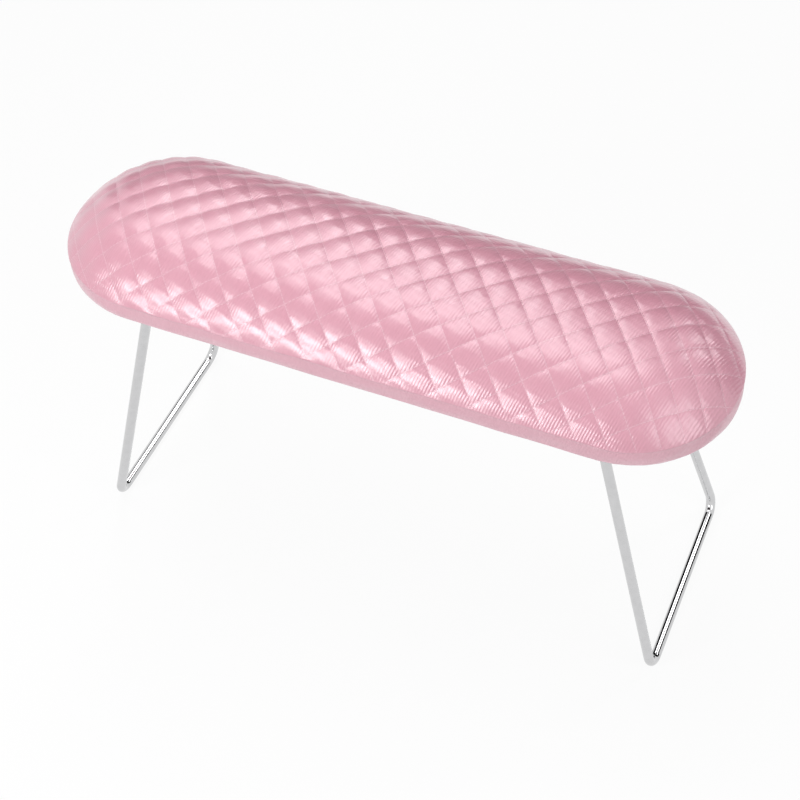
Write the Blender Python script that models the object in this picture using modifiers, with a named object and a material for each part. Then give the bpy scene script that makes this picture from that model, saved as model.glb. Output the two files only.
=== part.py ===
"""Manicure hand rest: a padded board with round ends, covered in quilted leatherette, on two bent
rod legs. Metres, +Z up, X along the board, -Y the front, origin on the floor under the middle."""

import math

import bmesh
import bpy
import numpy as np
from mathutils import Matrix, Vector

# Pad
LENGTH = 0.400
WIDTH = 0.122
UNDERSIDE = 0.1863  # floor to the cover's underside
CROWN = 0.026  # rise of the seams from the pad's shoulder to its middle
CROWN_POWER = 2.5  # 2 is a parabola, more is flatter in the middle
END_FALL = 0.10  # share of the crown lost at the tips

# Cover
COVER_THICKNESS = 0.0012
HEM_WIDTH = 0.015
HEM_CORNER = 0.0015  # round of the cover where it turns under the board
QUILT_PITCH = 0.01536
QUILT_RISE = 0.0016
QUILT_TURN = math.radians(39.8)  # the seams' direction from the board's length
QUILT_START = Vector((-0.0016, -0.0031))  # one crossing of the seams, along X and across the crown
QUILT_STEPS = (0.0, 0.3, 0.7)  # mesh lines inside one quilted square

# Inside and under the pad
BOARD_THICKNESS = 0.009
FOAM_EDGE = 0.0022  # from the board up to the shoulder, at the pad's side
LINING_THICKNESS = 0.0008
LINING_MARGIN = 0.006  # cover left showing round the lining

# Legs
ROD_RADIUS = 0.003
ROD_SIDES = 12
LEG_INSET = (0.064, 0.0195)  # from the pad's tip and side in to the top of an upright
LEG_SPLAY = (0.0447, 0.0225)  # how far out its foot stands from its top, along X and Y
LEG_RUN = 0.052  # from the top of an upright to the rod's end, flat under the board
BEND_RADIUS = 0.009
BEND_STEPS = 5

# Fixings
CLIP_WIDTH = 0.010
CLIP_THICKNESS = 0.001
CLIP_FLANGE = 0.0072
CLIP_MARGIN = 0.005  # from a clip to the end of the rod's straight run
CLIPS_AN_END = 2
SCREW_RADIUS = 0.0015
SCREW_HEAD_RADIUS = 0.00275
SCREW_HEAD_HEIGHT = 0.0018
SCREW_LENGTH = 0.010  # under the head
SCREW_TIP = 0.002
SCREW_PAN = ((1.0, 0.0), (0.9, 0.7), (0.45, 1.0), (0.0, 1.0))  # the head's outline, in its radii and heights
STAPLE_CROWN = 0.010
STAPLE_LEG = 0.006
STAPLE_WIRE = 0.0006
STAPLES_A_SIDE = 6
STAPLES_AN_END = 2

# Fits and mesh fineness
GAP = 0.0003  # left between pieces that touch
OVERCUT = 0.002  # how far a cutter passes through what it cuts
WELD = 0.00002
SMOOTH_ANGLE = math.radians(35)
END_STEPS = 20  # round one end, an even number
SIDE_STEPS = 4  # along one straight side
DOME_RINGS = 7
HEM_STEPS = 2
CLIP_STEPS = 6
SCREW_SIDES = 8
ARC_SAMPLES = 400

# Heights that follow from the sizes above
HALF_WIDTH = WIDTH / 2
END_CENTRE = LENGTH / 2 - HALF_WIDTH
BOARD_TOP = UNDERSIDE + COVER_THICKNESS + GAP + BOARD_THICKNESS
SHOULDER = BOARD_TOP + GAP + FOAM_EDGE
LINING_BOTTOM = UNDERSIDE - GAP - LINING_THICKNESS
ROD_TOP_AXIS = LINING_BOTTOM - GAP - ROD_RADIUS
ROD_FLAT = ROD_RADIUS * math.cos(math.pi / ROD_SIDES)  # axis to the middle of a facet
LEG_TOP = Vector((LENGTH / 2 - LEG_INSET[0], HALF_WIDTH - LEG_INSET[1], ROD_TOP_AXIS))
FOOT = Vector((LEG_TOP.x + LEG_SPLAY[0], LEG_TOP.y + LEG_SPLAY[1], ROD_FLAT))
TOP_TURN = Vector((1.0, 0.0, 0.0)).angle(FOOT - LEG_TOP)  # the bend at the top of an upright
STRAIGHT_RUN = LEG_RUN - BEND_RADIUS * math.tan(TOP_TURN / 2)
CLIP_INNER = ROD_RADIUS + GAP
CLIP_OUTER = CLIP_INNER + CLIP_THICKNESS
CLIP_TOP = LINING_BOTTOM - GAP
SCREW_OFFSET = CLIP_OUTER + SCREW_HEAD_RADIUS + GAP  # rod's axis to a screw's axis
SCREW_SEAT = CLIP_TOP - CLIP_THICKNESS - GAP  # the plane under a screw's head
STAPLE_INSET = (HEM_WIDTH + HEM_CORNER) / 2  # the middle of the hem's flat part


def material(name, colour, roughness, metallic=0.0):
    """A Principled material from an sRGB colour given as six hex digits."""
    made = bpy.data.materials.new(name)
    made.use_nodes = True
    shader = made.node_tree.nodes["Principled BSDF"]
    channels = [int(colour[i : i + 2], 16) / 255 for i in (0, 2, 4)]
    linear = [c / 12.92 if c <= 0.04045 else ((c + 0.055) / 1.055) ** 2.4 for c in channels]
    shader.inputs["Base Color"].default_value = (*linear, 1.0)
    shader.inputs["Roughness"].default_value = roughness
    shader.inputs["Metallic"].default_value = metallic
    return made


def new_collection(name):
    made = bpy.data.collections.new(name)
    bpy.context.scene.collection.children.link(made)
    return made


def add_part(name, mesh, finish, place=(0.0, 0.0, 0.0)):
    """A piece of the hand rest. A piece that shares its mesh with others shares its finish too."""
    made = bpy.data.objects.new(name, mesh)
    made.location = place
    parts.objects.link(made)
    if not mesh.materials:
        mesh.materials.append(finish)
    return made


def add_cutter(name, mesh, place=(0.0, 0.0, 0.0)):
    made = bpy.data.objects.new(name, mesh)
    made.location = place
    made.hide_render = True
    made.display_type = "WIRE"
    cutters.objects.link(made)
    return made


def cut(target, cutter, operation="DIFFERENCE"):
    modifier = target.modifiers.new(cutter.name, "BOOLEAN")
    modifier.operation = operation
    modifier.solver = "EXACT"
    modifier.object = cutter


def mesh_of(bm, name):
    """The mesh of a bmesh, with its faces turned out and its round parts smooth."""
    bmesh.ops.recalc_face_normals(bm, faces=bm.faces)
    mesh = bpy.data.meshes.new(name)
    bm.to_mesh(mesh)
    bm.free()
    mesh.shade_smooth()
    mesh.set_sharp_from_angle(angle=SMOOTH_ANGLE)
    return mesh


def curve_mesh(curve):
    """A curve's solid as a closed mesh, its caps welded to its sides."""
    drawn = bpy.data.objects.new(curve.name, curve)
    bpy.context.scene.collection.objects.link(drawn)
    graph = bpy.context.evaluated_depsgraph_get()
    raw = bpy.data.meshes.new_from_object(drawn.evaluated_get(graph))
    bpy.data.objects.remove(drawn)
    bm = bmesh.new()
    bm.from_mesh(raw)
    bmesh.ops.remove_doubles(bm, verts=bm.verts, dist=WELD)
    return mesh_of(bm, curve.name)


def plate_mesh(name, outline, thickness):
    """A flat piece with this outline, half its thickness on either side of its own plane."""
    curve = bpy.data.curves.new(name, "CURVE")
    curve.dimensions = "2D"
    curve.fill_mode = "BOTH"
    curve.extrude = thickness / 2
    spline = curve.splines.new("POLY")
    spline.points.add(len(outline) - 1)
    for point, (x, y) in zip(spline.points, outline):
        point.co = (x, y, 0.0, 1.0)
    spline.use_cyclic_u = True
    return curve_mesh(curve)


def stadium(inset, side_steps=1):
    """The pad's outline moved in by inset, anticlockwise from the right tip."""
    radius = HALF_WIDTH - inset
    quarter = END_STEPS // 2
    outline = []
    for side in (1, -1):
        for step in range(-quarter, quarter + 1):
            angle = step / quarter * math.pi / 2
            x = side * (END_CENTRE + radius * math.cos(angle))
            outline.append((x, side * radius * math.sin(angle)))
        for step in range(1, side_steps):
            x = side * END_CENTRE * (1 - 2 * step / side_steps)
            outline.append((x, side * radius))
    return outline[quarter:] + outline[:quarter]


def edge_distance(x, y):
    """How far inside the pad's outline a point of the plan lies."""
    return HALF_WIDTH - math.hypot(max(abs(x) - END_CENTRE, 0.0), y)


def crown_height(x, inside):
    """Height over the shoulder of the surface that the seams lie in, this far inside the outline."""
    share = 1 - min(max(inside / HALF_WIDTH, 0.0), 1.0)
    tallest = CROWN * (1 - END_FALL * (x / (LENGTH / 2)) ** 2)
    return tallest * (1 - share**CROWN_POWER)


def height_under_crown(x, inside, depth):
    """Z of the surface that lies depth below the seams' surface, measured square to it."""
    share = 1 - inside / HALF_WIDTH
    slope = CROWN * CROWN_POWER * share ** (CROWN_POWER - 1) / HALF_WIDTH
    return SHOULDER + crown_height(x, inside) - depth * math.hypot(1.0, slope)


def add_cap(bm, ring):
    """Closes an outline with strips across it, from tip to tip."""
    for i in range(len(ring) // 2):
        corners = (ring[i], ring[i + 1], ring[-i - 1], ring[-i])
        bm.faces.new(list(dict.fromkeys(corners)))


def loft_mesh(name, rings):
    """Walls between outlines that have the same number of points, closed at both ends."""
    bm = bmesh.new()
    loops = [[bm.verts.new(point) for point in ring] for ring in rings]
    for lower, upper in zip(loops, loops[1:]):
        for i in range(len(lower)):
            bm.faces.new((lower[i - 1], lower[i], upper[i], upper[i - 1]))
    add_cap(bm, loops[0])
    add_cap(bm, loops[-1])
    return mesh_of(bm, name)


def dome_mesh(name, depth, bottom):
    """A flat-bottomed crown whose sides and top lie depth inside the seams' surface."""
    rings = [[(x, y, bottom) for x, y in stadium(depth, SIDE_STEPS)]]
    for step in range(DOME_RINGS):
        turn = step / DOME_RINGS * math.pi / 2
        inside = depth + (HALF_WIDTH - depth) * (1 - math.cos(turn))
        outline = stadium(inside, SIDE_STEPS)
        rings.append([(x, y, height_under_crown(x, inside, depth)) for x, y in outline])
    return loft_mesh(name, rings)


def crown_arc():
    """Samples of the length along the crown's section, and of the reach across the pad at each."""
    across = HALF_WIDTH * np.sin(np.linspace(0.0, math.pi / 2, ARC_SAMPLES))
    heights = np.array([crown_height(0.0, HALF_WIDTH - y) for y in across])
    lengths = np.hypot(np.diff(across), np.diff(heights))
    return np.concatenate(([0.0], np.cumsum(lengths))), across


def quilted_mesh():
    """A block whose top is the quilted crown, a little wider than the pad on every side."""
    arc, across = crown_arc()
    ahead = Vector((math.cos(QUILT_TURN), math.sin(QUILT_TURN)))
    aside = ahead.orthogonal()
    bm = bmesh.new()
    placed = {}

    def seam_line(index):
        """Place of a mesh line, counted in quilted squares."""
        square, step = divmod(index, len(QUILT_STEPS))
        return square + QUILT_STEPS[step]

    def vertex(i, j):
        """The mesh point where line i along one seam direction meets line j along the other."""
        if (i, j) not in placed:
            first, second = seam_line(i), seam_line(j)
            x, along = QUILT_START + QUILT_PITCH * (first * ahead + second * aside)
            past_edge = max(abs(along) - arc[-1], 0.0)
            y = math.copysign(np.interp(abs(along), arc, across) + past_edge, along)
            puff = math.sqrt(abs(math.sin(first * math.pi) * math.sin(second * math.pi)))
            z = SHOULDER + crown_height(x, edge_distance(x, y)) + QUILT_RISE * puff
            placed[i, j] = bm.verts.new((x, y, z))
        return placed[i, j]

    reach = len(QUILT_STEPS) * math.ceil(LENGTH / QUILT_PITCH)
    for i in range(-reach, reach):
        for j in range(-reach, reach):
            corner = vertex(i, j).co
            if edge_distance(corner.x, corner.y) > -QUILT_PITCH:
                square = ((i, j), (i + 1, j), (i + 1, j + 1), (i, j + 1))
                bm.faces.new([vertex(*lines) for lines in square])
    bmesh.ops.delete(bm, geom=[v for v in bm.verts if not v.link_faces], context="VERTS")
    extruded = bmesh.ops.extrude_face_region(bm, geom=bm.faces[:])["geom"]
    for element in extruded:
        if isinstance(element, bmesh.types.BMVert):
            element.co.z = UNDERSIDE - OVERCUT
    return mesh_of(bm, "quilted")


def outside_mesh():
    """The cover's plain outside: a straight band, rounded where it turns under the board."""
    rings = []
    for step in range(HEM_STEPS + 1):
        turn = step / HEM_STEPS * math.pi / 2
        z = UNDERSIDE + HEM_CORNER * (1 - math.cos(turn))
        inset = HEM_CORNER * (1 - math.sin(turn))
        rings.append([(x, y, z) for x, y in stadium(inset)])
    top = SHOULDER + CROWN + QUILT_RISE + OVERCUT
    rings.append([(x, y, top) for x, y in stadium(0.0)])
    return loft_mesh("cover_outside", rings)


def add_cover(hole_cutters):
    """The quilted sheet: crowned top, plain side, and hem turned under the board."""
    cover = add_part("cover", quilted_mesh(), leatherette)
    cut(cover, add_cutter("cover_outside", outside_mesh()), "INTERSECT")
    hollow = dome_mesh("cover_inside", COVER_THICKNESS, UNDERSIDE + COVER_THICKNESS)
    cut(cover, add_cutter("cover_inside", hollow))
    mouth = plate_mesh("hem_mouth", stadium(HEM_WIDTH), 2 * (COVER_THICKNESS + OVERCUT))
    cut(cover, add_cutter("hem_mouth", mouth, (0.0, 0.0, UNDERSIDE)))
    for cutter in hole_cutters:
        cut(cover, cutter)


def add_foam():
    mesh = dome_mesh("foam_pad", COVER_THICKNESS + GAP, BOARD_TOP + GAP)
    add_part("foam_pad", mesh, foam)


def add_board(hole_cutters):
    mesh = plate_mesh("base_board", stadium(COVER_THICKNESS + GAP), BOARD_THICKNESS)
    board = add_part("base_board", mesh, plywood, (0.0, 0.0, BOARD_TOP - BOARD_THICKNESS / 2))
    for cutter in hole_cutters:
        cut(board, cutter)


def add_lining(screw_holes):
    mesh = plate_mesh("bottom_lining", stadium(LINING_MARGIN), LINING_THICKNESS)
    middle = LINING_BOTTOM + LINING_THICKNESS / 2
    cut(add_part("bottom_lining", mesh, non_woven, (0.0, 0.0, middle)), screw_holes)


def rounded_path(corners):
    """The path through these corners, with an arc of BEND_RADIUS at each inner one."""
    path = [corners[0]]
    for before, corner, after in zip(corners, corners[1:], corners[2:]):
        back = (before - corner).normalized()
        ahead = (after - corner).normalized()
        half_angle = back.angle(ahead) / 2
        tangent = BEND_RADIUS / math.tan(half_angle)
        centre = corner + (back + ahead).normalized() * BEND_RADIUS / math.sin(half_angle)
        start = (corner + back * tangent - centre).normalized()
        end = (corner + ahead * tangent - centre).normalized()
        for step in range(BEND_STEPS + 1):
            path.append(centre + BEND_RADIUS * start.slerp(end, step / BEND_STEPS))
    path.append(corners[-1])
    return path


def rod_mesh(name, path, tilt):
    """A round rod along a path, with its facets turned by tilt."""
    curve = bpy.data.curves.new(name, "CURVE")
    curve.dimensions = "3D"
    curve.bevel_depth = ROD_RADIUS
    curve.bevel_resolution = (ROD_SIDES - 4) // 2
    curve.use_fill_caps = True
    spline = curve.splines.new("POLY")
    spline.points.add(len(path) - 1)
    for point, place in zip(spline.points, path):
        point.co = (*place, 1.0)
        point.tilt = tilt
    return curve_mesh(curve)


def floor_facet_tilt(mesh, side):
    """The tilt that lays one facet of the floor bar flat on the floor."""
    on_bar = (v.co for v in mesh.vertices if v.co.z < 2 * ROD_RADIUS)
    nearest = min(on_bar, key=lambda co: abs(co.y))
    angle = math.atan2(nearest.z - FOOT.z, nearest.x - side * FOOT.x)
    facet = 2 * math.pi / ROD_SIDES
    return (angle + facet / 2) % facet


def add_leg(name, side):
    """One bent rod: a floor bar, two splayed uprights and two ends flat under the board."""
    tip = LEG_TOP - Vector((LEG_RUN, 0.0, 0.0))
    front = [Vector((side * v.x, -v.y, v.z)) for v in (tip, LEG_TOP, FOOT)]
    rear = [Vector((side * v.x, v.y, v.z)) for v in (FOOT, LEG_TOP, tip)]
    path = rounded_path(front + rear)
    tilt = floor_facet_tilt(rod_mesh(name, path, 0.0), side)
    add_part(name, rod_mesh(name, path, tilt), steel)


def clip_places():
    """The name of each clip and the place on the rod's axis where it is centred."""
    first = LEG_TOP.x - LEG_RUN + CLIP_MARGIN + CLIP_WIDTH / 2
    last = LEG_TOP.x - LEG_RUN + STRAIGHT_RUN - CLIP_MARGIN - CLIP_WIDTH / 2
    for side_name, side in (("left", -1), ("right", 1)):
        for end_name, end in (("front", -1), ("rear", 1)):
            for number, x in enumerate(np.linspace(first, last, CLIPS_AN_END), 1):
                name = f"{side_name}_{end_name}_{number}"
                yield name, Vector((side * x, end * LEG_TOP.y, LEG_TOP.z))


def clip_mesh():
    """The middle surface of a clip: a strap round the rod, whose axis is X, between two flanges."""
    middle = CLIP_INNER + CLIP_THICKNESS / 2
    top = CLIP_TOP - ROD_TOP_AXIS - CLIP_THICKNESS / 2
    reach = CLIP_OUTER + CLIP_FLANGE
    flange = [(reach, top), (middle + CLIP_THICKNESS, top), (middle, top - CLIP_THICKNESS)]
    arc = [-math.pi * step / CLIP_STEPS for step in range(CLIP_STEPS + 1)]
    profile = flange + [(middle * math.cos(a), middle * math.sin(a)) for a in arc]
    profile += [(-y, z) for y, z in reversed(flange)]
    bm = bmesh.new()
    near = [bm.verts.new((-CLIP_WIDTH / 2, y, z)) for y, z in profile]
    far = [bm.verts.new((CLIP_WIDTH / 2, y, z)) for y, z in profile]
    for i in range(len(profile) - 1):
        bm.faces.new((near[i], near[i + 1], far[i + 1], far[i]))
    return mesh_of(bm, "clip")


def add_clips(screw_holes):
    mesh = clip_mesh()
    for name, place in clip_places():
        clip = add_part(f"clip_{name}", mesh, zinc, place)
        strap = clip.modifiers.new("strap", "SOLIDIFY")
        strap.thickness = CLIP_THICKNESS
        strap.offset = 0.0
        strap.use_even_offset = True
        cut(clip, screw_holes)


def screw_places():
    """The name of each screw and the place of the plane under its head, on its axis."""
    for name, place in clip_places():
        for letter, side in (("a", -1), ("b", 1)):
            yield f"{name}{letter}", Vector((place.x, place.y + side * SCREW_OFFSET, SCREW_SEAT))


def screw_mesh():
    """Half a section of a pan-head screw that points up, to be turned about Z."""
    profile = (
        (0.0, SCREW_LENGTH),
        (SCREW_RADIUS, SCREW_LENGTH - SCREW_TIP),
        (SCREW_RADIUS, 0.0),
        *((SCREW_HEAD_RADIUS * out, -SCREW_HEAD_HEIGHT * down) for out, down in SCREW_PAN),
    )
    mesh = bpy.data.meshes.new("screw")
    edges = [(i, i + 1) for i in range(len(profile) - 1)]
    mesh.from_pydata([(x, 0.0, z) for x, z in profile], edges, [])
    return mesh


def add_screws():
    mesh = screw_mesh()
    for name, place in screw_places():
        screw = add_part(f"screw_{name}", mesh, zinc, place)
        turn = screw.modifiers.new("turn", "SCREW")
        turn.steps = SCREW_SIDES
        turn.render_steps = SCREW_SIDES
        turn.use_merge_vertices = True
        turn.merge_threshold = WELD


def joined_mesh(name, shape, matrices):
    """Copies of one mesh, one at each matrix, in one mesh."""
    bm = bmesh.new()
    for matrix in matrices:
        old = set(bm.verts)
        bm.from_mesh(shape)
        bmesh.ops.transform(bm, matrix=matrix, verts=[v for v in bm.verts if v not in old])
    return mesh_of(bm, name)


def add_screw_holes():
    """The holes that the screws pass through, from under the clips up into the board."""
    depth = OVERCUT + CLIP_THICKNESS + SCREW_LENGTH + GAP
    bm = bmesh.new()
    radius = SCREW_RADIUS + GAP
    bmesh.ops.create_cone(
        bm, cap_ends=True, segments=SCREW_SIDES, radius1=radius, radius2=radius, depth=depth
    )
    hole = mesh_of(bm, "screw_hole")
    lift = Vector((0.0, 0.0, SCREW_LENGTH + GAP - depth / 2))
    matrices = [Matrix.Translation(place + lift) for _, place in screw_places()]
    return add_cutter("screw_holes", joined_mesh("screw_holes", hole, matrices))


def staple_mesh(name, clearance):
    """A wire staple standing on its crown's underside, grown by a clearance on every side."""
    half = STAPLE_CROWN / 2 + clearance
    inner = STAPLE_CROWN / 2 - STAPLE_WIRE - clearance
    tip = STAPLE_LEG + clearance
    crown = STAPLE_WIRE + clearance
    outline = [
        (-half, -clearance), (half, -clearance), (half, tip), (inner, tip),
        (inner, crown), (-inner, crown), (-inner, tip), (-half, tip),
    ]
    mesh = plate_mesh(name, outline, STAPLE_WIRE + 2 * clearance)
    mesh.transform(Matrix.Rotation(math.pi / 2, 4, "X"))
    return mesh


def staple_matrices():
    """The place and turn of each staple, its crown along the pad's edge."""
    reach = HALF_WIDTH - STAPLE_INSET
    for side in (1, -1):
        half_turn = 0.0 if side == 1 else math.pi
        for number in range(STAPLES_A_SIDE):
            x = END_CENTRE * (2 * (number + 0.5) / STAPLES_A_SIDE - 1)
            yield Matrix.Translation((x, side * reach, UNDERSIDE)) @ Matrix.Rotation(half_turn, 4, "Z")
        for number in range(STAPLES_AN_END):
            angle = math.pi * ((number + 0.5) / STAPLES_AN_END - 0.5) + half_turn
            x = side * END_CENTRE + reach * math.cos(angle)
            place = Matrix.Translation((x, reach * math.sin(angle), UNDERSIDE))
            yield place @ Matrix.Rotation(angle + math.pi / 2, 4, "Z")


def add_staple_slots():
    slot = staple_mesh("staple_slot", GAP)
    return add_cutter("staple_slots", joined_mesh("staple_slots", slot, staple_matrices()))


def add_staples():
    mesh = staple_mesh("staple", 0.0)
    for number, matrix in enumerate(staple_matrices(), 1):
        add_part(f"staple_{number:02}", mesh, zinc).matrix_world = matrix


for old in list(bpy.data.objects):
    bpy.data.objects.remove(old)

parts = new_collection("manicure_hand_rest")
cutters = new_collection("cutters")

leatherette = material("pink_leatherette", "E8A9B8", 0.38)
foam = material("foam", "F0E6C8", 0.95)
plywood = material("plywood", "C9A777", 0.7)
non_woven = material("non_woven_lining", "2A2A2C", 0.9)
steel = material("polished_steel", "CFCFD1", 0.16, metallic=1.0)
zinc = material("zinc_plate", "B9BCC0", 0.32, metallic=1.0)

screw_hole_cutter = add_screw_holes()
staple_slot_cutter = add_staple_slots()
add_cover([screw_hole_cutter, staple_slot_cutter])
add_foam()
add_board([screw_hole_cutter, staple_slot_cutter])
add_lining(screw_hole_cutter)
add_leg("leg_left", -1)
add_leg("leg_right", 1)
add_clips(screw_hole_cutter)
add_screws()
add_staples()
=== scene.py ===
"""Manicure hand rest: a board padded with foam, covered in quilted pink leatherette and carried on two
bent rod legs. Metres, +Z up, X along the pad, -Y the front, origin on the floor under the middle."""

import math

import bmesh
import bpy
import numpy as np
from mathutils import Matrix, Vector


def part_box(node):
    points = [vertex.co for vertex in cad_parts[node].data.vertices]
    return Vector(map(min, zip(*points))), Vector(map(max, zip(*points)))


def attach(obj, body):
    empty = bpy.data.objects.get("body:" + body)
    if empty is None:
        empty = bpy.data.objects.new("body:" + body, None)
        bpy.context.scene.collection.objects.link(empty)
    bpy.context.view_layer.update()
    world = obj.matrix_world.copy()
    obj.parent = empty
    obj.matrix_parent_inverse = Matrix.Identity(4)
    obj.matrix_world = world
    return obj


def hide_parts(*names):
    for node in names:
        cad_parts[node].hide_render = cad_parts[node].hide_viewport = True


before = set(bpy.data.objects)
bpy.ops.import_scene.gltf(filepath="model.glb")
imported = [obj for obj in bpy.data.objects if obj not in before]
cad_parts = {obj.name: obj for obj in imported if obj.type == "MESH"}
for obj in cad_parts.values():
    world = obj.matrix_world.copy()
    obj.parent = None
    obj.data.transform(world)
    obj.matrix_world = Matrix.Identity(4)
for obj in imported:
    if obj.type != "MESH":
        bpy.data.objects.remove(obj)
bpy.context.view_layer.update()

# Camera. It looks down on the front of the rest from the right, a little off its middle.
# The shift crops the picture as the photograph is cropped.
CAMERA_TURN = math.radians(20.61)
CAMERA_HEIGHT = math.radians(48.26)
CAMERA_DISTANCE = 0.93691
CAMERA_TARGET = Vector((0.0777, 0.0292, 0.1860))
back = Vector(
    (
        math.sin(CAMERA_TURN) * math.cos(CAMERA_HEIGHT),
        -math.cos(CAMERA_TURN) * math.cos(CAMERA_HEIGHT),
        math.sin(CAMERA_HEIGHT),
    )
)
bpy.ops.object.camera_add(
    location=CAMERA_TARGET + back * CAMERA_DISTANCE,
    rotation=(math.pi / 2 - CAMERA_HEIGHT, 0.0, CAMERA_TURN),
)
camera = bpy.context.object
camera.data.lens = 74.76
camera.data.sensor_width = 36.0
camera.data.shift_x = -0.1804
camera.data.shift_y = -0.1126
bpy.context.scene.camera = camera


# Base board. A plate of beech plywood with round ends that carries the foam and takes the screws.
# The cover and the lining hide it. Sawn plywood shows pale face grain and its glue lines.
def colour(digits, alpha=1.0):
    """A linear colour from six sRGB hex digits."""
    channels = [int(digits[i : i + 2], 16) / 255 for i in (0, 2, 4)]
    linear = [c / 12.92 if c <= 0.04045 else ((c + 0.055) / 1.055) ** 2.4 for c in channels]
    return (*linear, alpha)


def add(tree, kind, inputs=None, **settings):
    """A shader node with its settings. Each input is a value or the socket that it is linked to."""
    made = tree.nodes.new("ShaderNode" + kind)
    for name, value in settings.items():
        setattr(made, name, value)
    for name, value in (inputs or {}).items():
        if isinstance(value, bpy.types.NodeSocket):
            tree.links.new(value, made.inputs[name])
        else:
            made.inputs[name].default_value = value
    return made


def new_finish(name):
    """An empty material and its node tree."""
    made = bpy.data.materials.new(name)
    made.use_nodes = True
    made.node_tree.nodes.clear()
    return made, made.node_tree


def surface(tree, inputs):
    """The tree's Principled shader with these inputs, linked to its output."""
    shader = add(tree, "BsdfPrincipled", inputs)
    add(tree, "OutputMaterial", {"Surface": shader.outputs[0]})


def dress(piece, finish):
    piece.data.materials.clear()
    piece.data.materials.append(finish)


plywood, tree = new_finish("beech_plywood")
where = add(tree, "TexCoord").outputs["Object"]
along = add(tree, "Mapping", {"Vector": where, "Scale": (6.0, 160.0, 1.0)}).outputs[0]
grain = add(tree, "TexNoise", {"Vector": along, "Scale": 1.0, "Detail": 4.0}).outputs["Fac"]
wood = add(
    tree, "MixRGB", {"Fac": grain, "Color1": colour("D9BC92"), "Color2": colour("B98F5E")}
).outputs[0]
height = add(tree, "SeparateXYZ", {"Vector": where}).outputs["Z"]
plies = add(tree, "Math", {0: height, 1: 1 / 0.0015}, operation="MULTIPLY").outputs[0]
layer = add(tree, "Math", {0: plies}, operation="FRACT").outputs[0]
glue_line = add(tree, "Math", {0: layer, 1: 0.12}, operation="LESS_THAN").outputs[0]
sawn = add(tree, "MixRGB", {"Fac": glue_line, "Color1": wood, "Color2": colour("7A5A3A")}).outputs[0]
relief = add(tree, "Bump", {"Height": grain, "Strength": 0.2, "Distance": 0.0003}).outputs[0]
surface(tree, {"Base Color": sawn, "Roughness": 0.62, "Normal": relief})
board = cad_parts["base_board"]
dress(board, plywood)


# Foam pad. A block of polyurethane foam glued to the board, shaved to a crown that falls to a low
# edge all round and a little towards the tips. It is soft, matt and full of fine cells.
PAD_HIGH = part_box("cover")[1]
FOAM_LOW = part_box("foam_pad")[0]
HALF_WIDTH = PAD_HIGH.y
HALF_LENGTH = PAD_HIGH.x
END_CENTRE = HALF_LENGTH - HALF_WIDTH
CROWN = 0.0261
CROWN_POWER = 2.9  # 2 is a parabola, more is flatter in the middle
END_FALL = 0.10
SHOULDER = 0.1993  # height of the crease where the crown meets the side
TRIM_REACH = 0.004


def edge_distance(x, y):
    """How far inside the pad's outline points of the plan lie."""
    return HALF_WIDTH - np.hypot(np.maximum(np.abs(x) - END_CENTRE, 0.0), y)


def crown_height(x, inside):
    """Height over the shoulder of the surface that the seams lie in."""
    share = 1 - np.clip(inside / HALF_WIDTH, 0.0, 1.0)
    return CROWN * (1 - END_FALL * (x / HALF_LENGTH) ** 2) * (1 - share**CROWN_POWER)


def crown_slope(inside):
    share = 1 - np.clip(inside / HALF_WIDTH, 0.0, 1.0)
    return CROWN * CROWN_POWER * share ** (CROWN_POWER - 1) / HALF_WIDTH


def places_of(mesh):
    places = np.empty(len(mesh.vertices) * 3)
    mesh.vertices.foreach_get("co", places)
    return places.reshape(-1, 3)


def move_to(mesh, places):
    mesh.vertices.foreach_set("co", np.ascontiguousarray(places, np.float32).ravel())
    mesh.update()


def trim_to_outline(bm, inset, end_steps):
    """Cuts a flat sheet to the pad's outline, a tangent at a time, and drops what is outside.

    Only the faces within TRIM_REACH of a tangent are cut, so its cut stays short. Their parts stay
    in the mesh's order, as a set's order would change the merged corners from run to run.
    """
    for end in (1, -1):
        for step in range(end_steps + 1):
            angle = math.pi * (step / end_steps - 0.5)
            out = Vector((end * math.cos(angle), math.sin(angle), 0.0))
            rim = Vector((end * END_CENTRE, 0.0, 0.0)) + out * (HALF_WIDTH - inset)
            near = [f for f in bm.faces if (f.calc_center_median() - rim).dot(out) > -TRIM_REACH]
            near_parts = dict.fromkeys(e for f in near for e in (*f.verts, *f.edges, f))
            bmesh.ops.bisect_plane(
                bm, geom=list(near_parts), plane_co=rim, plane_no=out, clear_outer=True, dist=1e-6
            )


bpy.ops.object.select_all(action="DESELECT")
FOAM_CELL = 0.004
bpy.ops.mesh.primitive_grid_add(
    x_subdivisions=round(2 * HALF_LENGTH / FOAM_CELL),
    y_subdivisions=round(2 * HALF_WIDTH / FOAM_CELL),
    size=2.0,
)
foam = bpy.context.object
foam.name = "foam_block"
foam.scale = (HALF_LENGTH, HALF_WIDTH, 1.0)
bpy.ops.object.transform_apply(location=False, rotation=False, scale=True)
FOAM_DEPTH = 0.0016  # under the seams' surface, measured square to it
SLIVER = 0.0002  # corners closer than this are merged after a trim
bm = bmesh.new()
bm.from_mesh(foam.data)
trim_to_outline(bm, FOAM_DEPTH, 32)
bmesh.ops.remove_doubles(bm, verts=bm.verts, dist=SLIVER)
rim = [e for e in bm.edges if e.is_boundary]
skirt = bmesh.ops.extrude_edge_only(bm, edges=rim)["geom"]
for v in bm.verts:
    inside = float(edge_distance(v.co.x, v.co.y))
    fall = FOAM_DEPTH * math.hypot(1.0, float(crown_slope(inside)))
    v.co.z = SHOULDER + float(crown_height(v.co.x, inside)) - fall
for v in (e for e in skirt if isinstance(e, bmesh.types.BMVert)):
    v.co.z = FOAM_LOW.z
bmesh.ops.contextual_create(bm, geom=[e for e in bm.edges if e.is_boundary])
bmesh.ops.recalc_face_normals(bm, faces=bm.faces)
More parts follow.
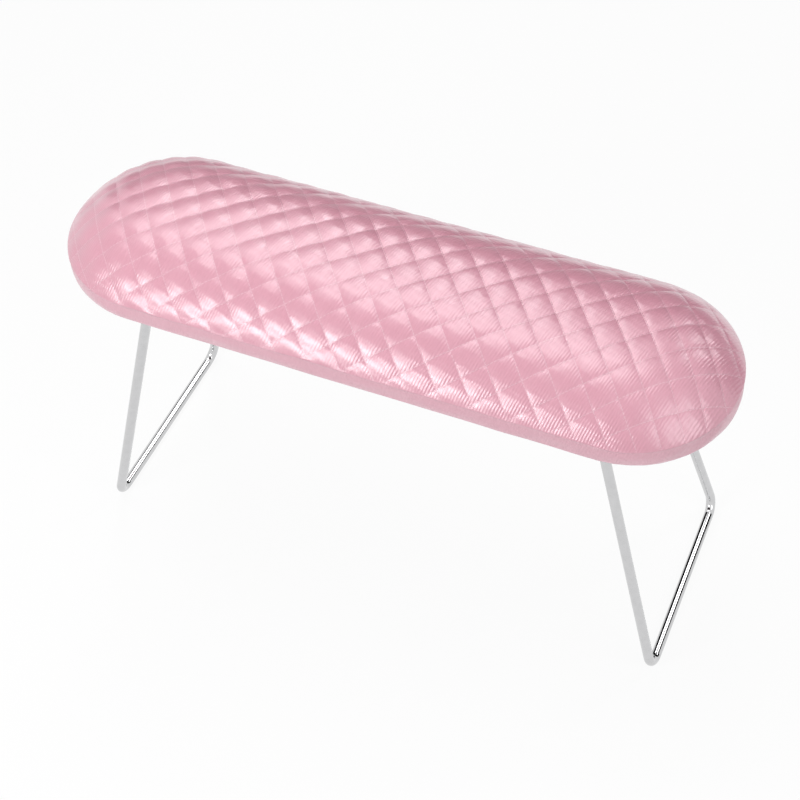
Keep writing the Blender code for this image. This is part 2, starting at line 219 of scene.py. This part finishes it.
bm.to_mesh(foam.data)
bm.free()
foam.data.shade_smooth()

foam_finish, tree = new_finish("cut_polyurethane_foam")
where = add(tree, "TexCoord").outputs["Object"]
cells = add(tree, "TexVoronoi", {"Vector": where, "Scale": 900.0}).outputs["Distance"]
tint = add(
    tree, "MixRGB", {"Fac": cells, "Color1": colour("D8C795"), "Color2": colour("F2E8C9")}
).outputs[0]
pores = add(tree, "Bump", {"Height": cells, "Strength": 0.8, "Distance": 0.0005}).outputs[0]
surface(tree, {"Base Color": tint, "Roughness": 0.95, "Sheen Weight": 0.3, "Normal": pores})
dress(foam, foam_finish)
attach(foam, "root")
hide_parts("foam_pad")


# Cover. Pink leatherette, machine quilted in small squares on a thin wadding, drawn over the foam,
# creased along the shoulder, plain down the side and turned under the board as a hem.
# A fine embossed twill under a pearly gloss breaks the light into short strokes.
QUILT_STEPS = np.array(((0.01147, 0.00986), (-0.00981, 0.01212)))  # one square ahead, one aside
QUILT_START = np.array((0.00028, -0.00411))
QUILT_RISE = 0.00145
QUILT_LINES = np.array((0.0, 0.03, 0.09, 0.19, 0.34, 0.5, 0.66, 0.81, 0.91, 0.97, 1.0))
SQUARES_ALONG = 30
SQUARES_ACROSS = 28
END_DRAPE = 0.0023  # extra leather that lies over each end by END_DRAPE_AT
END_DRAPE_FROM = 0.060
END_DRAPE_AT = 0.135
LEATHER = 0.0012
HEM_WIDTH = 0.015
ARC_SAMPLES = 400
SHEET_SPARE = 0.05

across = HALF_WIDTH * np.sin(np.linspace(0.0, math.pi / 2, ARC_SAMPLES))
section = crown_height(0.0, HALF_WIDTH - across)
arc = np.concatenate(([0.0], np.cumsum(np.hypot(np.diff(across), np.diff(section)))))
along = np.linspace(0.0, HALF_LENGTH + SHEET_SPARE, ARC_SAMPLES)
draped = np.maximum(along - END_DRAPE_FROM, 0.0) / (END_DRAPE_AT - END_DRAPE_FROM)
along_sheet = along + END_DRAPE * draped**2


def mirrored(values, given, wanted):
    """Looks values up in a table that holds for both signs."""
    return np.sign(values) * np.interp(np.abs(values), given, wanted)


def quilt_coordinates(x, y):
    """A point of the plan, counted in quilted squares along both directions of the seams."""
    flat = np.stack((mirrored(x, along, along_sheet), mirrored(y, across, arc)), -1)
    return ((flat - QUILT_START) @ np.linalg.inv(QUILT_STEPS)).T


def puff(first, second, tightness):
    """How far a square swells, from 0 at its corners to 1: a low tent, or flat on top if tighter."""
    rolls = [1 - np.abs(2 * (count % 1) - 1) ** tightness for count in (first, second)]
    return 0.45 * (rolls[0] + rolls[1]) + 0.10 * rolls[0] * rolls[1]


def waver(x, y, seed, size):
    """A smooth wavering of about one, the same each run, that repeats nowhere on the pad."""
    total = 0.0
    for turn in range(5):
        angle = seed + 2.4 * turn
        pace = 2 * math.pi / size * (0.7 + 0.23 * turn)
        total = total + np.sin(pace * (x * math.cos(angle) + y * math.sin(angle)) + seed * turn)
    return total / 2.2


bpy.ops.object.select_all(action="DESELECT")
steps = len(QUILT_LINES) - 1
bpy.ops.mesh.primitive_grid_add(
    x_subdivisions=SQUARES_ALONG * steps, y_subdivisions=SQUARES_ACROSS * steps, size=2.0
)
cover = bpy.context.object
cover.name = "quilted_cover"
grid = places_of(cover.data)
lines = np.rint((grid[:, :2] + 1) / 2 * (SQUARES_ALONG * steps, SQUARES_ACROSS * steps))
squares = lines // steps + QUILT_LINES[(lines % steps).astype(int)]
squares -= (SQUARES_ALONG // 2, SQUARES_ACROSS // 2)
flat = QUILT_START + squares @ QUILT_STEPS
past = np.sign(flat[:, 1]) * np.maximum(np.abs(flat[:, 1]) - arc[-1], 0.0)
plan_x = mirrored(flat[:, 0], along_sheet, along)
plan_y = mirrored(flat[:, 1], arc, across) + past
move_to(cover.data, np.stack((plan_x, plan_y, np.zeros(len(flat))), -1))

bm = bmesh.new()
bm.from_mesh(cover.data)
outside = [v for v in bm.verts if edge_distance(v.co.x, v.co.y) < -0.003]
bmesh.ops.delete(bm, geom=outside, context="VERTS")
trim_to_outline(bm, 0.0, 72)
bmesh.ops.remove_doubles(bm, verts=bm.verts, dist=0.00015)
bm.to_mesh(cover.data)
bm.free()

top = places_of(cover.data)
x, y = top[:, 0], top[:, 1]
inside = edge_distance(x, y)
first, second = quilt_coordinates(x, y)
fullness = 1 + 0.10 * waver(np.floor(first), np.floor(second), 1.7, 3.1)
CREASE_REACH = 0.011  # less at the front, where the squares stay full up to the crease
CREASE_WAVER = 0.0003
CREASE_WAVE = 0.045
DRAWN_BETWEEN = (-0.06, 0.08)
crease_reach = np.interp(y, (-HALF_WIDTH, HALF_WIDTH), (0.4 * CREASE_REACH, CREASE_REACH))
to_crease = np.clip(inside / crease_reach, 0.0, 1.0)
# The quilting is fuller towards the left and drawn tighter towards the right.
drawn = np.interp(x, DRAWN_BETWEEN, (0.0, 1.0))
swell = puff(first, second, 1.6 + 1.6 * drawn) * (1 - 0.3 * drawn)
lift = QUILT_RISE * fullness * swell * (0.15 + 0.85 * to_crease**0.5)
crease = CREASE_WAVER * waver(x, y, 0.4, CREASE_WAVE) * (1 - to_crease)
top[:, 2] = SHOULDER + crown_height(x, inside) + lift + crease
move_to(cover.data, top)

# The side and the hem grow from the crease, ring by ring: drop from the shoulder, and reach out.
SIDE_RINGS = (
    (0.0003, 0.0003), (0.0008, 0.0003), (0.0014, -0.0002), (0.0022, -0.0003), (0.0036, 0.0000),
    (0.0052, 0.0002), (0.0068, 0.0003), (0.0084, 0.0002), (0.0100, 0.0000), (0.0113, -0.0002),
    (0.0121, -0.0005), (0.0127, -0.0010), (0.0130, -0.0017),
)
WRINKLE = 0.00035
WRINKLE_WAVE = 0.038
PLEATS = 46  # gathers in a full turn of the hem, at the round ends only
PLEAT_HEIGHT = 0.00035
PLEAT_AT = 0.0035  # how far in from the edge a gather is highest
HEM_RINGS = (0.003, 0.0048, 0.007, 0.010, 0.013, HEM_WIDTH)
bm = bmesh.new()
bm.from_mesh(cover.data)
rim = [e for e in bm.edges if e.is_boundary]
rings = [*SIDE_RINGS, *((0.0130, -reach) for reach in HEM_RINGS)]
for drop, reach in rings:
    grown = bmesh.ops.extrude_edge_only(bm, edges=rim)["geom"]
    rim = [e for e in grown if isinstance(e, bmesh.types.BMEdge)]
    for v in (e for e in grown if isinstance(e, bmesh.types.BMVert)):
        centre = Vector((min(max(v.co.x, -END_CENTRE), END_CENTRE), 0.0))
        out = (v.co.xy - centre).normalized()
        radius = HALF_WIDTH + reach
        turned_in = max(-reach, 0.0)
        held = min(1.0, drop / 0.004, max(0.0, 0.0128 - drop) / 0.002)
        wrinkle = held * WRINKLE * waver(v.co.x, v.co.y + 2 * drop, 0.9, WRINKLE_WAVE)
        turn = math.atan2(out.y, out.x)
        pleat = math.sin(turn * PLEATS) if abs(v.co.x) > END_CENTRE else 0.0
        gathered = max(0.0, 1 - abs(turned_in - PLEAT_AT) / PLEAT_AT) * PLEAT_HEIGHT
        wave = CREASE_WAVER * waver(v.co.x, v.co.y, 0.4, CREASE_WAVE) * max(0.0, 1 - drop / 0.005)
        v.co.x = centre.x + out.x * (radius + wrinkle)
        v.co.y = out.y * (radius + wrinkle)
        v.co.z = SHOULDER - drop + wave + pleat * gathered
bmesh.ops.recalc_face_normals(bm, faces=bm.faces)
bm.to_mesh(cover.data)
bm.free()
if sum(p.normal.z for p in cover.data.polygons if p.center.z > SHOULDER + 0.01) < 0:
    cover.data.flip_normals()

unrolled = cover.data.uv_layers.new(name="unrolled")
points = places_of(cover.data)
depth = np.maximum(SHOULDER - points[:, 2], 0.0)
over = mirrored(points[:, 1], across, arc) + np.sign(points[:, 1]) * depth
on_sheet = np.stack((mirrored(points[:, 0], along, along_sheet), over), -1)
in_squares = quilt_coordinates(points[:, 0], points[:, 1]).T
corners = np.empty(len(cover.data.loops), int)
cover.data.loops.foreach_get("vertex_index", corners)
unrolled.data.foreach_set("uv", on_sheet[corners].astype(np.float32).ravel())
counted = cover.data.uv_layers.new(name="squares")
counted.data.foreach_set("uv", in_squares[corners].astype(np.float32).ravel())

wall = cover.modifiers.new("leather", "SOLIDIFY")
wall.thickness = LEATHER
wall.offset = -1.0
bpy.context.view_layer.objects.active = cover
bpy.ops.object.modifier_apply(modifier=wall.name)
cover.data.shade_smooth()

# Embossed grains lie in a twill, 1.7 mm a row, and the seams are sewn with 2 mm stitches, whose lighter pink
# is a painted glint. The pearl coat makes wide pale highlights that the grains break into strokes. The plain
# side is duller, and its paler, greyer pink is a painted lift of light on the side.
leatherette, tree = new_finish("pearl_leatherette")
where = add(tree, "UVMap", uv_map="unrolled").outputs[0]
TWILL_TURN = math.radians(74.0)
turned = add(
    tree, "Mapping", {"Vector": where, "Rotation": (0.0, 0.0, -TWILL_TURN)}
).outputs[0]
# A wave of scale s has 20 s / 2 pi crests a metre.
rows = add(
    tree, "TexWave", {"Vector": turned, "Scale": math.pi / 10 / 0.0017}, bands_direction="Y"
).outputs["Fac"]
lengths = add(
    tree,
    "TexWave",
    {"Vector": turned, "Scale": math.pi / 10 / 0.0040, "Distortion": 3.0, "Detail Scale": 2.0},
    bands_direction="X",
).outputs["Fac"]
ends = add(tree, "MapRange", {"Value": lengths, "To Min": 0.45, "To Max": 1.0}).outputs[0]
grains = add(tree, "Math", {0: rows, 1: ends}, operation="MULTIPLY").outputs[0]
square = add(
    tree, "SeparateXYZ", {"Vector": add(tree, "UVMap", uv_map="squares").outputs[0]}
)
stitches = []
for beside, ahead in (("X", "Y"), ("Y", "X")):
    away = add(tree, "Math", {0: square.outputs[beside], 1: 0.5}, operation="PINGPONG").outputs[0]
    on_seam = add(
        tree, "MapRange", {"Value": away, "From Min": 0.008, "From Max": 0.022, "To Min": 1.0, "To Max": 0.0}
    ).outputs[0]
    stitch = add(
        tree, "Math", {0: square.outputs[ahead], 1: 0.5 / 7}, operation="PINGPONG"
    ).outputs[0]
    on_stitch = add(
        tree, "MapRange", {"Value": stitch, "From Min": 0.012, "From Max": 0.024}
    ).outputs[0]
    stitches.append(add(tree, "Math", {0: on_seam, 1: on_stitch}, operation="MULTIPLY").outputs[0])
sewn = add(tree, "Math", {0: stitches[0], 1: stitches[1]}, operation="MAXIMUM").outputs[0]
level = add(
    tree, "SeparateXYZ", {"Vector": add(tree, "TexCoord").outputs["Object"]}
).outputs["Z"]
on_top = add(
    tree,
    "MapRange",
    {"Value": level, "From Min": SHOULDER - 0.0012, "From Max": SHOULDER + 0.0006},
).outputs[0]
# Stitches on the top. Their raised relief is real; the lighter pink they are given below is a painted glint
# along the thread.
stitch_and_painted_glint = add(tree, "Math", {0: sewn, 1: on_top}, operation="MULTIPLY").outputs[0]
mottle = add(tree, "TexNoise", {"Vector": where, "Scale": 60.0, "Detail": 3.0}).outputs["Fac"]
skin = add(
    tree, "MixRGB", {"Fac": mottle, "Color1": colour("E0A0B1"), "Color2": colour("DB96A9")}
).outputs[0]
# Below the shoulder the side is painted a paler, greyer pink than the top: a painted lift of light on the
# side.
deburred_edge_and_painted_side = add(
    tree, "MixRGB", {"Fac": on_top, "Color1": colour("E2AAB9"), "Color2": skin}
).outputs[0]
tint = add(
    tree, "MixRGB", {"Fac": stitch_and_painted_glint, "Color1": deburred_edge_and_painted_side, "Color2": colour("E8B4C2")}
).outputs[0]
gloss = add(
    tree, "MapRange", {"Value": on_top, "To Min": 0.48, "To Max": 0.28}
).outputs[0]
emboss = add(
    tree, "Bump", {"Height": grains, "Strength": 1.0, "Distance": 0.00016}
).outputs[0]
raised = add(
    tree, "Bump", {"Height": stitch_and_painted_glint, "Strength": 0.6, "Distance": 0.0002, "Normal": emboss}
).outputs[0]
surface(
    tree,
    {
        "Base Color": tint, "Roughness": gloss, "Specular IOR Level": 1.0, "Normal": raised,
        "Coat Weight": 0.6, "Coat Roughness": 0.2, "Sheen Weight": 0.1,
    },
)
dress(cover, leatherette)
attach(cover, "root")
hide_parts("cover")


# Lining. Black spunbonded fabric, cut to the outline of the board and stapled flat over the hem.
# Its filaments are bonded in a fine grid of dots, so it looks like felt with a faint pattern.
LINING_MARGIN = 0.006
LINING_CELL = 0.003
LINING_SAG = 0.00012
LINING_LOW, LINING_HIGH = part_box("bottom_lining")
bpy.ops.object.select_all(action="DESELECT")
bpy.ops.mesh.primitive_grid_add(
    x_subdivisions=round(2 * HALF_LENGTH / LINING_CELL),
    y_subdivisions=round(2 * HALF_WIDTH / LINING_CELL),
    size=2.0,
)
lining = bpy.context.object
lining.name = "black_lining"
lining.scale = (HALF_LENGTH, HALF_WIDTH, 1.0)
bpy.ops.object.transform_apply(location=False, rotation=False, scale=True)
bm = bmesh.new()
bm.from_mesh(lining.data)
trim_to_outline(bm, LINING_MARGIN, 48)
bmesh.ops.remove_doubles(bm, verts=bm.verts, dist=SLIVER)
for v in bm.verts:
    sag = min(0.0, float(waver(v.co.x, v.co.y, 2.2, 0.05)))
    v.co.z = LINING_HIGH.z + sag * LINING_SAG
bmesh.ops.recalc_face_normals(bm, faces=bm.faces)
bm.to_mesh(lining.data)
bm.free()
if lining.data.polygons[0].normal.z < 0:
    lining.data.flip_normals()
felt = lining.modifiers.new("felt", "SOLIDIFY")
felt.thickness = LINING_HIGH.z - LINING_LOW.z
felt.offset = -1.0
bpy.ops.object.modifier_apply(modifier=felt.name)

spunbond, tree = new_finish("spunbonded_fabric")
where = add(tree, "TexCoord").outputs["Object"]
dots = add(
    tree, "TexVoronoi", {"Vector": where, "Scale": 700.0, "Randomness": 0.0}
).outputs["Distance"]
fibres = add(tree, "TexNoise", {"Vector": where, "Scale": 900.0, "Detail": 6.0}).outputs["Fac"]
tint = add(
    tree, "MixRGB", {"Fac": fibres, "Color1": colour("1E1E20"), "Color2": colour("3A3A3D")}
).outputs[0]
bonded = add(tree, "Bump", {"Height": dots, "Strength": 0.6, "Distance": 0.0003}).outputs[0]
hairy = add(
    tree, "Bump", {"Height": fibres, "Strength": 0.4, "Distance": 0.0002, "Normal": bonded}
).outputs[0]
surface(tree, {"Base Color": tint, "Roughness": 0.9, "Sheen Weight": 0.25, "Normal": hairy})
dress(lining, spunbond)
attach(lining, "root")
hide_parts("bottom_lining")


# Legs. Each is one 6 mm steel rod, bent cold to a floor bar, two splayed uprights and two ends that
# lie flat under the board. It is polished and nickel plated, so it mirrors the room in long stripes.
ROD_RADIUS = 0.003
ROD_SIDES = 32
BEND_RADIUS = 0.009
BEND_STEPS = 16
LEG_TOP = Vector((0.136, -0.0415, 0.1819))
LEG_RUN = 0.052
FOOT = Vector((0.1807, -0.064, ROD_RADIUS))


def bend_of(before, corner, after):
    """Where a bend starts, its angle, its centre and its axis, between two straight runs."""
    ahead = (corner - before).normalized()
    on = (after - corner).normalized()
    angle = ahead.angle(on)
    start = corner - ahead * BEND_RADIUS * math.tan(angle / 2)
    inward = (on - ahead * on.dot(ahead)).normalized()
    return start, angle, start + inward * BEND_RADIUS, ahead.cross(on).normalized()


def bent_rod(name):
    """The right leg: half of it is drawn out and bent, and the rest mirrors that half."""
    tip = LEG_TOP - Vector((LEG_RUN, 0.0, 0.0))
    middle = Vector((FOOT.x, 0.0, FOOT.z))
    bpy.ops.object.select_all(action="DESELECT")
    bpy.ops.mesh.primitive_circle_add(
        vertices=ROD_SIDES, radius=ROD_RADIUS, location=tip, rotation=(0.0, math.pi / 2, 0.0)
    )
    rod = bpy.context.object
    rod.name = name
    bpy.ops.object.transform_apply()
    bpy.ops.object.mode_set(mode="EDIT")
    at = tip
    for before, corner, after in ((tip, LEG_TOP, FOOT), (LEG_TOP, FOOT, middle)):
        start, angle, centre, axis = bend_of(before, corner, after)
        bpy.ops.mesh.extrude_region_move(TRANSFORM_OT_translate={"value": start - at})
        # Spin turns left-handed here, so the axis is reversed.
        bpy.ops.mesh.spin(steps=BEND_STEPS, angle=angle, center=centre, axis=-axis)
        at = centre + Matrix.Rotation(angle, 3, axis) @ (start - centre)
    bpy.ops.mesh.extrude_region_move(TRANSFORM_OT_translate={"value": middle - at})
    bpy.ops.object.mode_set(mode="OBJECT")
    mirror = rod.modifiers.new("rear", "MIRROR")
    mirror.use_axis = (False, True, False)
    mirror.merge_threshold = 0.00005
    bpy.ops.object.modifier_apply(modifier=mirror.name)
    bpy.ops.object.mode_set(mode="EDIT")
    bpy.ops.mesh.select_all(action="SELECT")
    bpy.ops.mesh.remove_doubles(threshold=0.00002)
    bpy.ops.mesh.select_all(action="DESELECT")
    bpy.ops.mesh.select_non_manifold()
    bpy.ops.mesh.fill_holes(sides=0)
    bpy.ops.mesh.select_all(action="SELECT")
    bpy.ops.mesh.normals_make_consistent(inside=False)
    bpy.ops.object.mode_set(mode="OBJECT")
    deburred_edge_and_painted_side = rod.modifiers.new("deburred", "BEVEL")
    deburred_edge_and_painted_side.width = 0.0004
    deburred_edge_and_painted_side.segments = 3
    deburred_edge_and_painted_side.angle_limit = math.radians(60)
    bpy.ops.object.modifier_apply(modifier=deburred_edge_and_painted_side.name)
    bpy.ops.object.shade_smooth_by_angle(angle=math.radians(50))
    return rod


plated, tree = new_finish("polished_nickel_plate")
where = add(tree, "TexCoord").outputs["Object"]
haze = add(tree, "TexNoise", {"Vector": where, "Scale": 240.0, "Detail": 3.0}).outputs["Fac"]
gloss = add(
    tree, "MapRange", {"Value": haze, "From Min": 0.3, "From Max": 0.7, "To Min": 0.05, "To Max": 0.12}
).outputs[0]
tint = add(
    tree, "MixRGB", {"Fac": haze, "Color1": colour("D2D2D3"), "Color2": colour("C6C6C7")}
).outputs[0]
surface(tree, {"Base Color": tint, "Metallic": 1.0, "Roughness": gloss})
right_rod = bent_rod("rod_right")
bpy.ops.object.select_all(action="DESELECT")
right_rod.select_set(True)
bpy.context.view_layer.objects.active = right_rod
bpy.ops.object.duplicate(linked=False)
left_rod = bpy.context.object
left_rod.name = "rod_left"
bpy.ops.transform.mirror(constraint_axis=(True, False, False))
bpy.ops.object.transform_apply()
bpy.ops.object.mode_set(mode="EDIT")
bpy.ops.mesh.select_all(action="SELECT")
bpy.ops.mesh.normals_make_consistent(inside=False)
bpy.ops.object.mode_set(mode="OBJECT")
for rod, node in ((right_rod, "leg_right"), (left_rod, "leg_left")):
    dress(rod, plated)
    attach(rod, "root")
    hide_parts(node)


# Saddle clips. Each is a strip of 1 mm steel pressed round a rod's end, with a flange on both sides
# that lies on the lining. Thin zinc plate leaves it bluish grey, half bright and a little uneven.
zinc, tree = new_finish("zinc_plate")
where = add(tree, "TexCoord").outputs["Object"]
spangle = add(tree, "TexNoise", {"Vector": where, "Scale": 500.0, "Detail": 4.0}).outputs["Fac"]
tint = add(
    tree, "MixRGB", {"Fac": spangle, "Color1": colour("AEB2B8"), "Color2": colour("C9CCD0")}
).outputs[0]
gloss = add(
    tree, "MapRange", {"Value": spangle, "To Min": 0.2, "To Max": 0.45}
).outputs[0]
surface(tree, {"Base Color": tint, "Metallic": 1.0, "Roughness": gloss})

CLIP_WIDTH = 0.010
CLIP_THICKNESS = 0.001
CLIP_REACH = 0.0115  # from the rod's axis to a flange's end
CLIP_BEND = 0.0038  # radius of the strap's middle surface
CLIP_RISE = 0.0025  # from the rod's axis to the flanges' middle surface
CLIP_STEPS = 20


def draw_out(y, z):
    """Extrudes what is selected along the strap."""
    bpy.ops.mesh.extrude_region_move(TRANSFORM_OT_translate={"value": (0.0, y, z)})


def copy_to(model, name, place, turn=0.0):
    """A copy of a model at a place, with its own mesh and its place in that mesh."""
    bpy.ops.object.select_all(action="DESELECT")
    model.select_set(True)
    bpy.context.view_layer.objects.active = model
    bpy.ops.object.duplicate(linked=False)
    made = bpy.context.object
    made.name = name
    made.location = place
    made.rotation_euler.z = turn
    bpy.ops.object.transform_apply()
    return made


bpy.ops.object.select_all(action="DESELECT")
bpy.ops.mesh.primitive_grid_add(x_subdivisions=2, y_subdivisions=2, size=1.0)
clip = bpy.context.object
clip.scale = (CLIP_WIDTH, CLIP_REACH - CLIP_BEND - CLIP_THICKNESS, 1.0)
clip.location = (0.0, (CLIP_REACH + CLIP_BEND + CLIP_THICKNESS) / 2, CLIP_RISE)
bpy.ops.object.transform_apply()
bpy.ops.object.mode_set(mode="EDIT")
bm = bmesh.from_edit_mesh(clip.data)
for e in bm.edges:
    e.select_set(max(v.co.y for v in e.verts) < CLIP_BEND + 1.5 * CLIP_THICKNESS)
bm.select_flush_mode()
bmesh.update_edit_mesh(clip.data)
draw_out(-CLIP_THICKNESS, -CLIP_THICKNESS)
draw_out(0.0, CLIP_THICKNESS - CLIP_RISE)
# Spin turns left-handed here, so this goes down and round under the rod.
bpy.ops.mesh.spin(steps=CLIP_STEPS, angle=math.pi, center=(0.0, 0.0, 0.0), axis=(1.0, 0.0, 0.0))
draw_out(0.0, CLIP_RISE - CLIP_THICKNESS)
draw_out(-CLIP_THICKNESS, CLIP_THICKNESS)
draw_out(CLIP_BEND + CLIP_THICKNESS - CLIP_REACH, 0.0)
bpy.ops.mesh.select_all(action="SELECT")
bpy.ops.mesh.remove_doubles(threshold=0.00001)
bpy.ops.mesh.normals_make_consistent(inside=False)
bpy.ops.object.mode_set(mode="OBJECT")
strap = clip.modifiers.new("strap", "SOLIDIFY")
strap.thickness = CLIP_THICKNESS
strap.offset = 0.0
strap.use_even_offset = True
pressed = clip.modifiers.new("pressed", "BEVEL")
pressed.width = 0.0003
pressed.segments = 3
for modifier in (strap, pressed):
    bpy.ops.object.modifier_apply(modifier=modifier.name)
bpy.ops.object.shade_smooth_by_angle(angle=math.radians(35))
dress(clip, zinc)
for node in [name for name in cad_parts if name.startswith("clip_")]:
    low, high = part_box(node)
    middle = (low + high) / 2
    made = copy_to(clip, node.replace("clip", "saddle"), (middle.x, middle.y, LEG_TOP.z))
    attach(made, "root")
    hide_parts(node)
bpy.data.objects.remove(clip)


# Screws. Pan-head wood screws with a cross recess, two to a clip, driven through the flanges and the
# lining into the board. They are zinc plated like the clips.
SCREW_RADIUS = 0.0015
HEAD_RADIUS = 0.00275
HEAD_HEIGHT = 0.0018
SCREW_LENGTH = 0.010
TIP = 0.002
TIP_RADIUS = 0.0002
RECESS = (0.0030, 0.0006, 0.0018)
# Radius and height over the head's flat, from the tip down to under the head and round the head.
SCREW_PROFILE = (
    (TIP_RADIUS, HEAD_HEIGHT + SCREW_LENGTH),
    (SCREW_RADIUS, HEAD_HEIGHT + SCREW_LENGTH - TIP),
    (SCREW_RADIUS, HEAD_HEIGHT),
    (HEAD_RADIUS, HEAD_HEIGHT),
    (0.96 * HEAD_RADIUS, 0.55 * HEAD_HEIGHT),
    (0.84 * HEAD_RADIUS, 0.25 * HEAD_HEIGHT),
    (0.62 * HEAD_RADIUS, 0.06 * HEAD_HEIGHT),
    (0.30 * HEAD_RADIUS, 0.0),
)

bpy.ops.object.select_all(action="DESELECT")
bpy.ops.mesh.primitive_circle_add(
    vertices=24, radius=TIP_RADIUS, fill_type="NGON", location=(0.0, 0.0, SCREW_PROFILE[0][1])
)
screw = bpy.context.object
bpy.ops.object.transform_apply()
bpy.ops.object.mode_set(mode="EDIT")
for (radius, height), (wider, lower) in zip(SCREW_PROFILE, SCREW_PROFILE[1:]):
    bpy.ops.mesh.extrude_region_move(TRANSFORM_OT_translate={"value": (0.0, 0.0, lower - height)})
    bpy.ops.transform.resize(value=(wider / radius, wider / radius, 1.0))
bpy.ops.mesh.select_all(action="SELECT")
bpy.ops.mesh.normals_make_consistent(inside=False)
bpy.ops.object.mode_set(mode="OBJECT")
for turn in (0.0, math.pi / 2):
    bpy.ops.mesh.primitive_cube_add(size=1.0, rotation=(0.0, 0.0, turn))
    slot = bpy.context.object
    slot.scale = RECESS
    recess = screw.modifiers.new("recess", "BOOLEAN")
    recess.operation = "DIFFERENCE"
    recess.solver = "EXACT"
    recess.object = slot
    bpy.context.view_layer.objects.active = screw
    bpy.ops.object.modifier_apply(modifier=recess.name)
    bpy.data.objects.remove(slot)
bpy.ops.object.select_all(action="DESELECT")
screw.select_set(True)
bpy.ops.object.shade_smooth_by_angle(angle=math.radians(40))
dress(screw, zinc)
for count, node in enumerate(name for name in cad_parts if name.startswith("screw_")):
    low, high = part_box(node)
    seat = ((low.x + high.x) / 2, (low.y + high.y) / 2, low.z)
    made = copy_to(screw, node.replace("screw", "pan_head"), seat, turn=2.4 * count)
    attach(made, "root")
    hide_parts(node)
bpy.data.objects.remove(screw)


# Staples. Thin galvanised wire, shot through the lining and the hem into the board all round.
for name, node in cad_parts.items():
    if name.startswith("staple_"):
        dress(node, zinc)


# Studio. A white table top and a white room, with a dark card behind. A large soft box hangs over
# the left, a narrow beam comes from behind it, and weaker boxes stand in front and on the right.
bpy.ops.mesh.primitive_plane_add(size=8.0)
table = bpy.context.object
table.name = "table_top"


def seen_directly(tree):
    """1 for rays that show the backdrop: from the camera, and by way of gloss or glass."""
    path = add(tree, "LightPath").outputs
    gloss = add(tree, "Math", {0: path["Is Camera Ray"], 1: path["Is Glossy Ray"]}, operation="MAXIMUM")
    glass = {0: gloss.outputs[0], 1: path["Is Transmission Ray"]}
    return add(tree, "Math", glass, operation="MAXIMUM").outputs[0]


paper, tree = new_finish("white_paper")
diffuse = add(tree, "BsdfDiffuse", {"Color": colour("F4F4F4")}).outputs[0]
glow = add(tree, "Emission", {"Color": colour("FFFFFF"), "Strength": 1.0}).outputs[0]
share = add(tree, "Math", {0: seen_directly(tree), 1: 0.92}, operation="MULTIPLY").outputs[0]
mixed = add(tree, "MixShader", {0: share, 1: diffuse, 2: glow}).outputs[0]
add(tree, "OutputMaterial", {"Surface": mixed})
dress(table, paper)

# A dark card behind, out of the picture, that gloss and metal mirror as a studio's back wall.
bpy.ops.mesh.primitive_plane_add(size=1.0, location=(0.0, 1.9, 1.4), rotation=(math.pi / 2, 0.0, 0.0))
card = bpy.context.object
card.name = "dark_card"
card.scale = (6.0, 2.8, 1.0)
bpy.ops.object.transform_apply()
card.visible_camera = False
card_felt, tree = new_finish("black_felt")
black = add(tree, "BsdfDiffuse", {"Color": colour("2B2B2B")}).outputs[0]
add(tree, "OutputMaterial", {"Surface": black})
dress(card, card_felt)

world = bpy.data.worlds.new("studio")
bpy.context.scene.world = world
world.use_nodes = True
tree = world.node_tree
tree.nodes.clear()
room = add(tree, "Background", {"Color": colour("FFFFFF"), "Strength": 0.3}).outputs[0]
white = add(tree, "Background", {"Color": colour("FFFFFF"), "Strength": 1.0}).outputs[0]
seen = add(tree, "MixShader", {0: seen_directly(tree), 1: room, 2: white}).outputs[0]
add(tree, "OutputWorld", {"Surface": seen})


def add_lamp(name, place, target, size, power, spread=180):
    """A soft box that shines at a target, in a cone this many degrees wide."""
    bpy.ops.object.light_add(type="AREA", location=place)
    lamp = bpy.context.object
    lamp.name = name
    lamp.rotation_euler = (Vector(target) - Vector(place)).to_track_quat("-Z", "Y").to_euler()
    lamp.data.shape = "RECTANGLE"
    lamp.data.size, lamp.data.size_y = size
    lamp.data.energy = power
    lamp.data.spread = math.radians(spread)


add_lamp("soft_box_over", (-0.6, 0.45, 2.1), (-0.2, 0.0, 0.22), (1.2, 1.2), 15.0)
add_lamp("soft_box_behind", (-0.53, 1.13, 1.5), (-0.2, 0.0, 0.22), (0.4, 0.6), 0.33, 40)
add_lamp("soft_box_front", (-0.35, -0.75, 0.62), (0.0, 0.0, 0.2), (0.4, 0.3), 3.6)
add_lamp("soft_box_right", (0.9, -0.3, 0.7), (0.1, 0.0, 0.2), (0.6, 0.6), 2.6)
add_lamp("tall_box_right", (0.66, 0.85, 0.89), (0.17, 0.0, 0.2), (0.28, 0.6), 2.4)

bpy.context.scene.view_settings.view_transform = "Standard"
